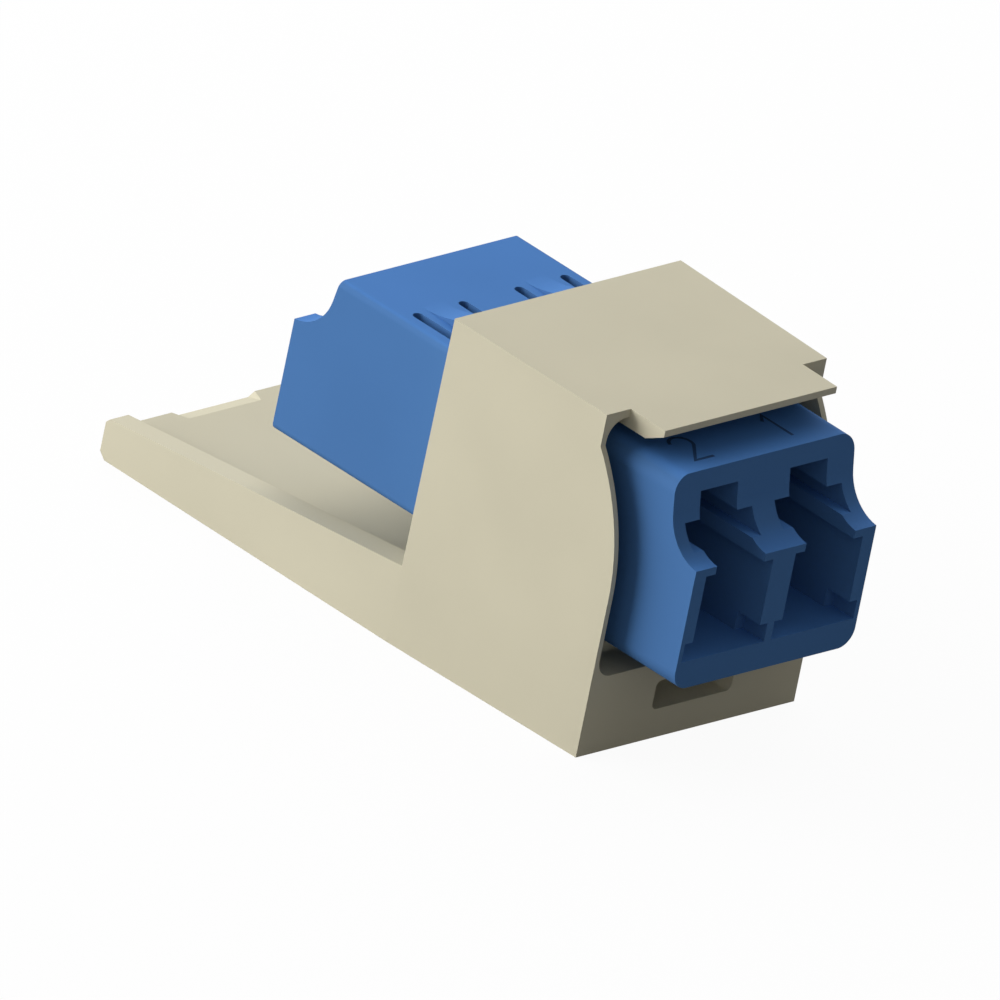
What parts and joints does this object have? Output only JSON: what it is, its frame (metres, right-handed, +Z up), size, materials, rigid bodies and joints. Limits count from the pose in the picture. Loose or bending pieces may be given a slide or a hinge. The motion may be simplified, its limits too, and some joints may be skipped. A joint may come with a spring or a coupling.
{
  "type": "lc fibre adapter",
  "caption": "Duplex LC fibre adapter in a snap-in panel module: blue adapter body with ports at both ends, ivory housing with a front lip and a long channel-shaped latch arm.",
  "frame": {"origin": "middle of the overall length and width, on the module's flat underside", "axes": "+Y back along the ports from the front ports to the arm's tail, +X across the two ports to the right seen from the front, +Z up"},
  "size_m": [0.0158, 0.0388, 0.0181],
  "materials": {
    "ivory_plastic": "satin moulded",
    "blue_plastic": "satin moulded",
    "zirconia": "ground"
  },
  "bodies": {
    "root": {"housing": "ivory_plastic", "front_shell": "blue_plastic", "rear_shell": "blue_plastic", "sleeve_holder_front": "blue_plastic", "sleeve_holder_rear": "blue_plastic", "split_sleeve_a": "zirconia", "split_sleeve_b": "zirconia"}
  },
  "joints": []
}
